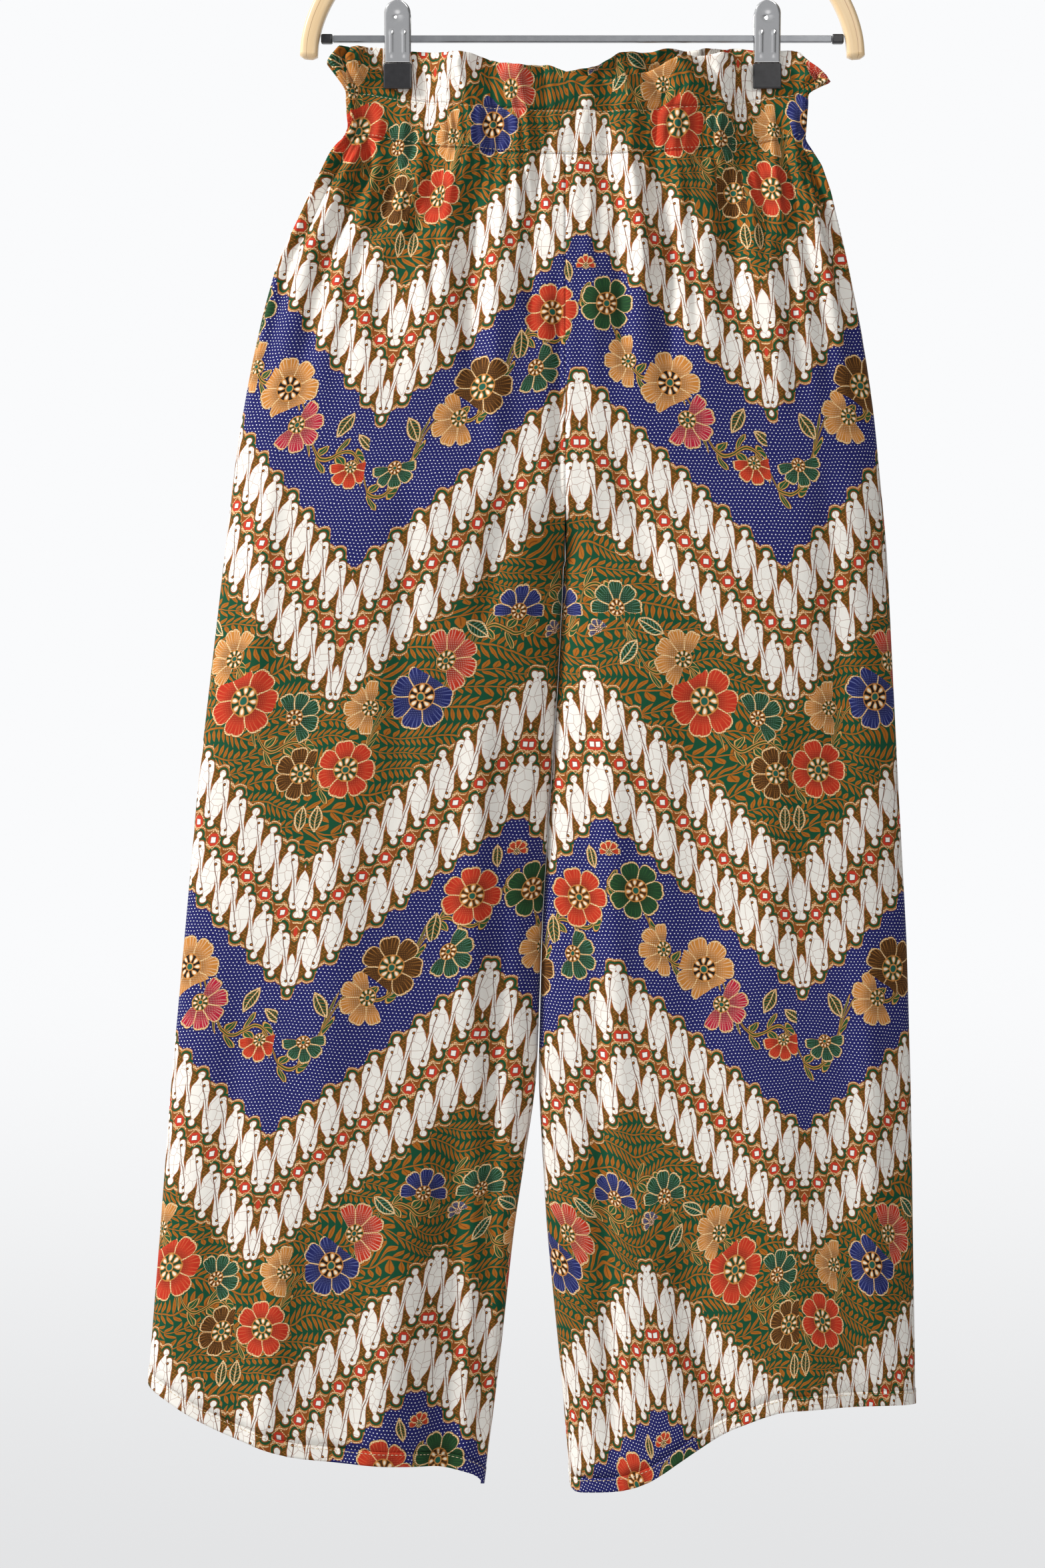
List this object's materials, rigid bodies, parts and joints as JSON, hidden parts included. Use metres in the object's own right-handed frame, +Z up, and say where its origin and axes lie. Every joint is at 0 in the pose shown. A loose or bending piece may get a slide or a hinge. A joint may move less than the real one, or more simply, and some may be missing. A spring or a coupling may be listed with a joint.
{
  "type": "lounge pants on a wooden clip hanger",
  "caption": "Wide-leg pull-on lounge pants with a gathered paper-bag waist and side-seam pockets in a zigzag and flower batik print, hanging from the clips of a bowed wooden hanger.",
  "frame": {"origin": "top of the inside of the hook, where it bears on a rail", "axes": "+Z up, the front of the pants faces -Y, +X to the viewer's right"},
  "size_m": [0.5388, 0.0618, 1.2154],
  "materials": {
    "printed_cotton": "matte woven cotton with a batik zigzag and flower print",
    "birch": "clear satin lacquer",
    "plated_steel": "bright plating",
    "black_rubber": "smooth, slightly glossy"
  },
  "bodies": {
    "root": {"ruffle_front": "printed_cotton", "ruffle_back": "printed_cotton", "casing_front": "printed_cotton", "casing_back": "printed_cotton", "front_left": "printed_cotton", "front_right": "printed_cotton", "back_left": "printed_cotton", "back_right": "printed_cotton", "hem_front_left": "printed_cotton", "hem_front_right": "printed_cotton", "hem_back_left": "printed_cotton", "hem_back_right": "printed_cotton", "pocket_facing_left": "printed_cotton", "pocket_facing_right": "printed_cotton", "hanger_wood": "birch", "hook": "plated_steel", "hanger_bar": "plated_steel", "bar_cap_left": "black_rubber", "bar_cap_right": "black_rubber", "clip_left_front_plate": "plated_steel", "clip_left_back_plate": "plated_steel", "clip_left_front_pad": "black_rubber", "clip_left_back_pad": "black_rubber", "clip_left_sleeve": "plated_steel", "clip_right_front_plate": "plated_steel", "clip_right_back_plate": "plated_steel", "clip_right_front_pad": "black_rubber", "clip_right_back_pad": "black_rubber", "clip_right_sleeve": "plated_steel"}
  },
  "joints": []
}
